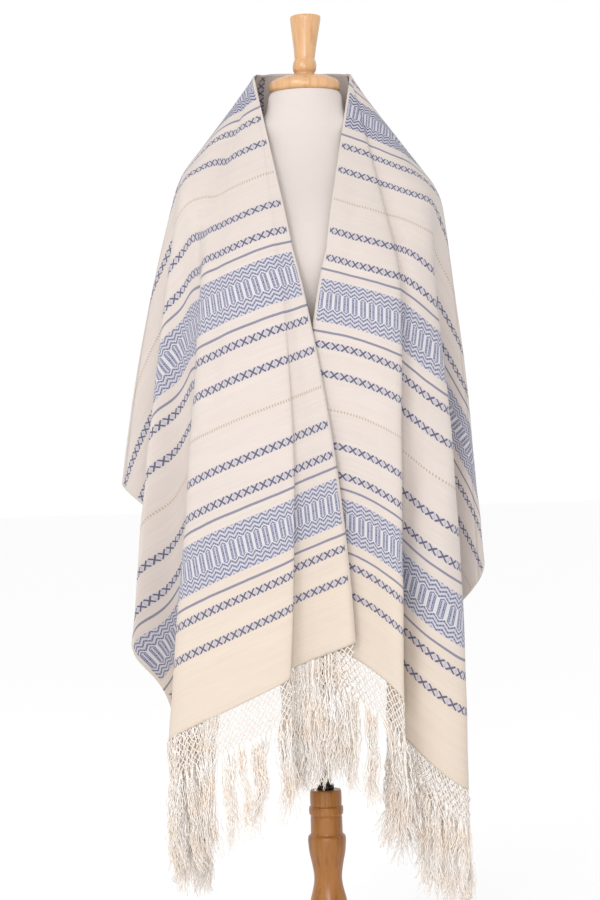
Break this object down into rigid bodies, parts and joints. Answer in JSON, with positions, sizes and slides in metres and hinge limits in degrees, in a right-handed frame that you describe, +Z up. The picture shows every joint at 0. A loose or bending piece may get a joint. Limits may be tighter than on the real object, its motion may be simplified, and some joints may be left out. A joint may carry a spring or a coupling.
{
  "type": "rebozo shawl on a dress form",
  "caption": "Long woven cotton rebozo shawl with banded brocade and knotted fringe, draped open-fronted over a limbless padded dress form on a turned wooden post and round base.",
  "frame": {"origin": "centre of the round base's underside, on the surface that the stand rests on", "axes": "+Z up along the post, the shawl's open front towards -Y, +X to the right when the front is looked at"},
  "size_m": [0.5973, 0.3868, 1.6222],
  "materials": {
    "woven_cotton": "matt plain weave with brocade bands in blues",
    "cotton_yarn": "matt twisted yarn",
    "form_linen": "matt stretched linen",
    "pale_wood": "satin varnish",
    "post_wood": "satin varnish",
    "dark_steel": "dark satin"
  },
  "bodies": {
    "root": {"shawl_left_front": "woven_cotton", "shawl_back": "woven_cotton", "shawl_right_front": "woven_cotton", "fringe_left": "cotton_yarn", "fringe_right": "cotton_yarn", "dress_form_torso": "form_linen", "neck_cap": "pale_wood", "finial": "pale_wood", "rod": "dark_steel", "post": "post_wood", "base": "post_wood"}
  },
  "joints": []
}
